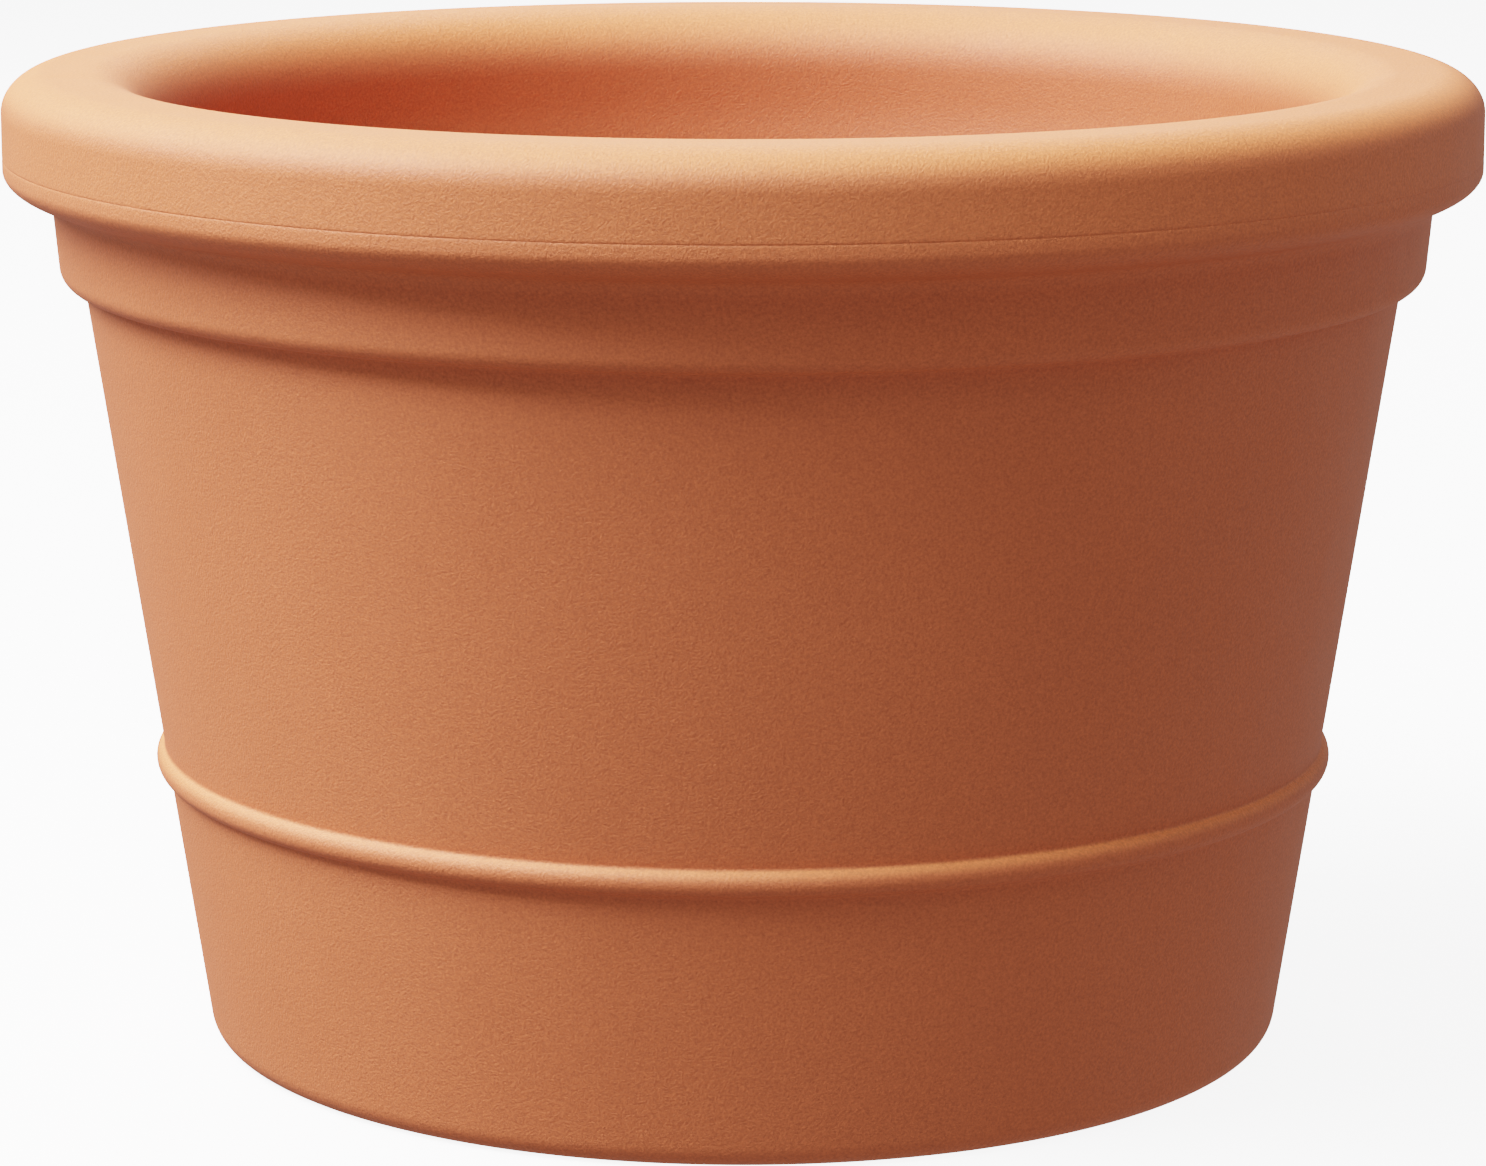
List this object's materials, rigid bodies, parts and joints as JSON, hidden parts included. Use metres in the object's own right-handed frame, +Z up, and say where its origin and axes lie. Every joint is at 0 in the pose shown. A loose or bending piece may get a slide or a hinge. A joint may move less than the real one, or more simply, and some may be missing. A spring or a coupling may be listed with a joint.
{
  "type": "round planter",
  "caption": "Low round double-walled planter with a rolled rim, a collar, a raised bead and a tapered body, with push-in drain plugs in its floor.",
  "frame": {"origin": "centre of the foot ring, on the ground", "axes": "+Z up along the planter's axis, +Y away from the viewer of the picture, +X to the right"},
  "size_m": [0.508, 0.5078, 0.338],
  "materials": {
    "shell_plastic": "matte, fine sand-blasted grain, terracotta",
    "plug_rubber": "matte dark brown rubber",
    "vent_plastic": "satin, terracotta"
  },
  "bodies": {
    "planter": {"planter_shell": "shell_plastic", "vent_plug": "vent_plastic"},
    "plug_centre_body": {"drain_plug_centre": "plug_rubber"},
    "plug_front_left_body": {"drain_plug_front_left": "plug_rubber"},
    "plug_front_right_body": {"drain_plug_front_right": "plug_rubber"},
    "plug_back_right_body": {"drain_plug_back_right": "plug_rubber"},
    "plug_back_left_body": {"drain_plug_back_left": "plug_rubber"}
  },
  "joints": [
    {"name": "drain_plug_centre_lift", "type": "slide", "parent": "planter", "child": "plug_centre_body", "axis": [0, 0, 1], "range_m": [0, 0.36]},
    {"name": "drain_plug_front_left_lift", "type": "slide", "parent": "planter", "child": "plug_front_left_body", "axis": [0, 0, 1], "range_m": [0, 0.36]},
    {"name": "drain_plug_front_right_lift", "type": "slide", "parent": "planter", "child": "plug_front_right_body", "axis": [0, 0, 1], "range_m": [0, 0.36]},
    {"name": "drain_plug_back_right_lift", "type": "slide", "parent": "planter", "child": "plug_back_right_body", "axis": [0, 0, 1], "range_m": [0, 0.36]},
    {"name": "drain_plug_back_left_lift", "type": "slide", "parent": "planter", "child": "plug_back_left_body", "axis": [0, 0, 1], "range_m": [0, 0.36]}
  ]
}
